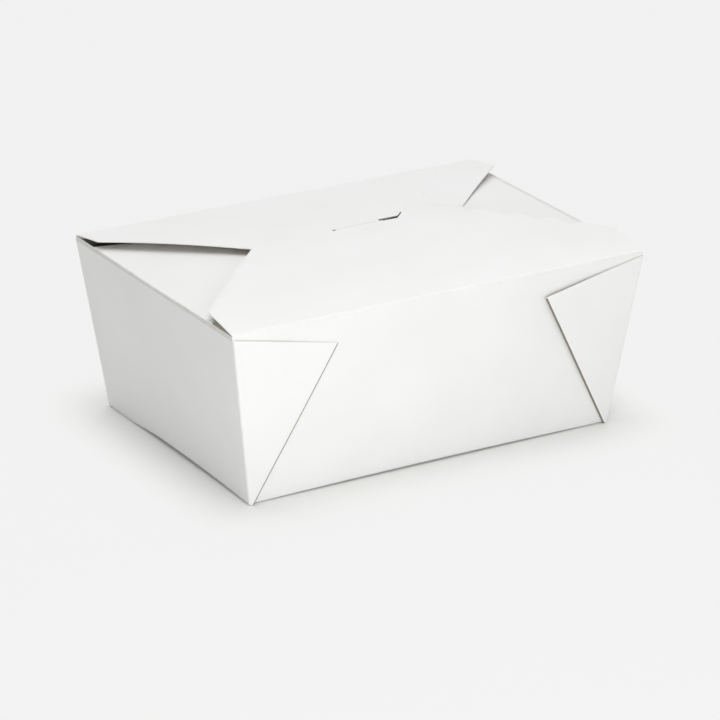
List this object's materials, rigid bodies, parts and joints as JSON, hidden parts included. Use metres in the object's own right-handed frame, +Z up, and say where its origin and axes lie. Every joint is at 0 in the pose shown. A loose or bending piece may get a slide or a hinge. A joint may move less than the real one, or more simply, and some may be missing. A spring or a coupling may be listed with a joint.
{
  "type": "takeout food box",
  "caption": "Folded paperboard takeout food carton with glued corner webs, sloping walls and a domed lid of overlapping flaps closed by a tongue and slit.",
  "frame": {"origin": "middle of the carton's bottom, on the surface it stands on", "axes": "+X along the long side, -Y towards the side whose lid flap opens, +Z up"},
  "size_m": [0.2256, 0.1558, 0.0974],
  "materials": {
    "coated_board": "white clay-coated paperboard with a soft satin sheen"
  },
  "bodies": {
    "carton": {"carton": "coated_board"},
    "front_flap": {"front_flap": "coated_board"}
  },
  "joints": [
    {"name": "front_flap_hinge", "type": "hinge", "parent": "carton", "child": "front_flap", "pos_m": [0, -0.0771, 0.0893], "axis": [1, 0, 0], "range_deg": [0, 215]}
  ]
}
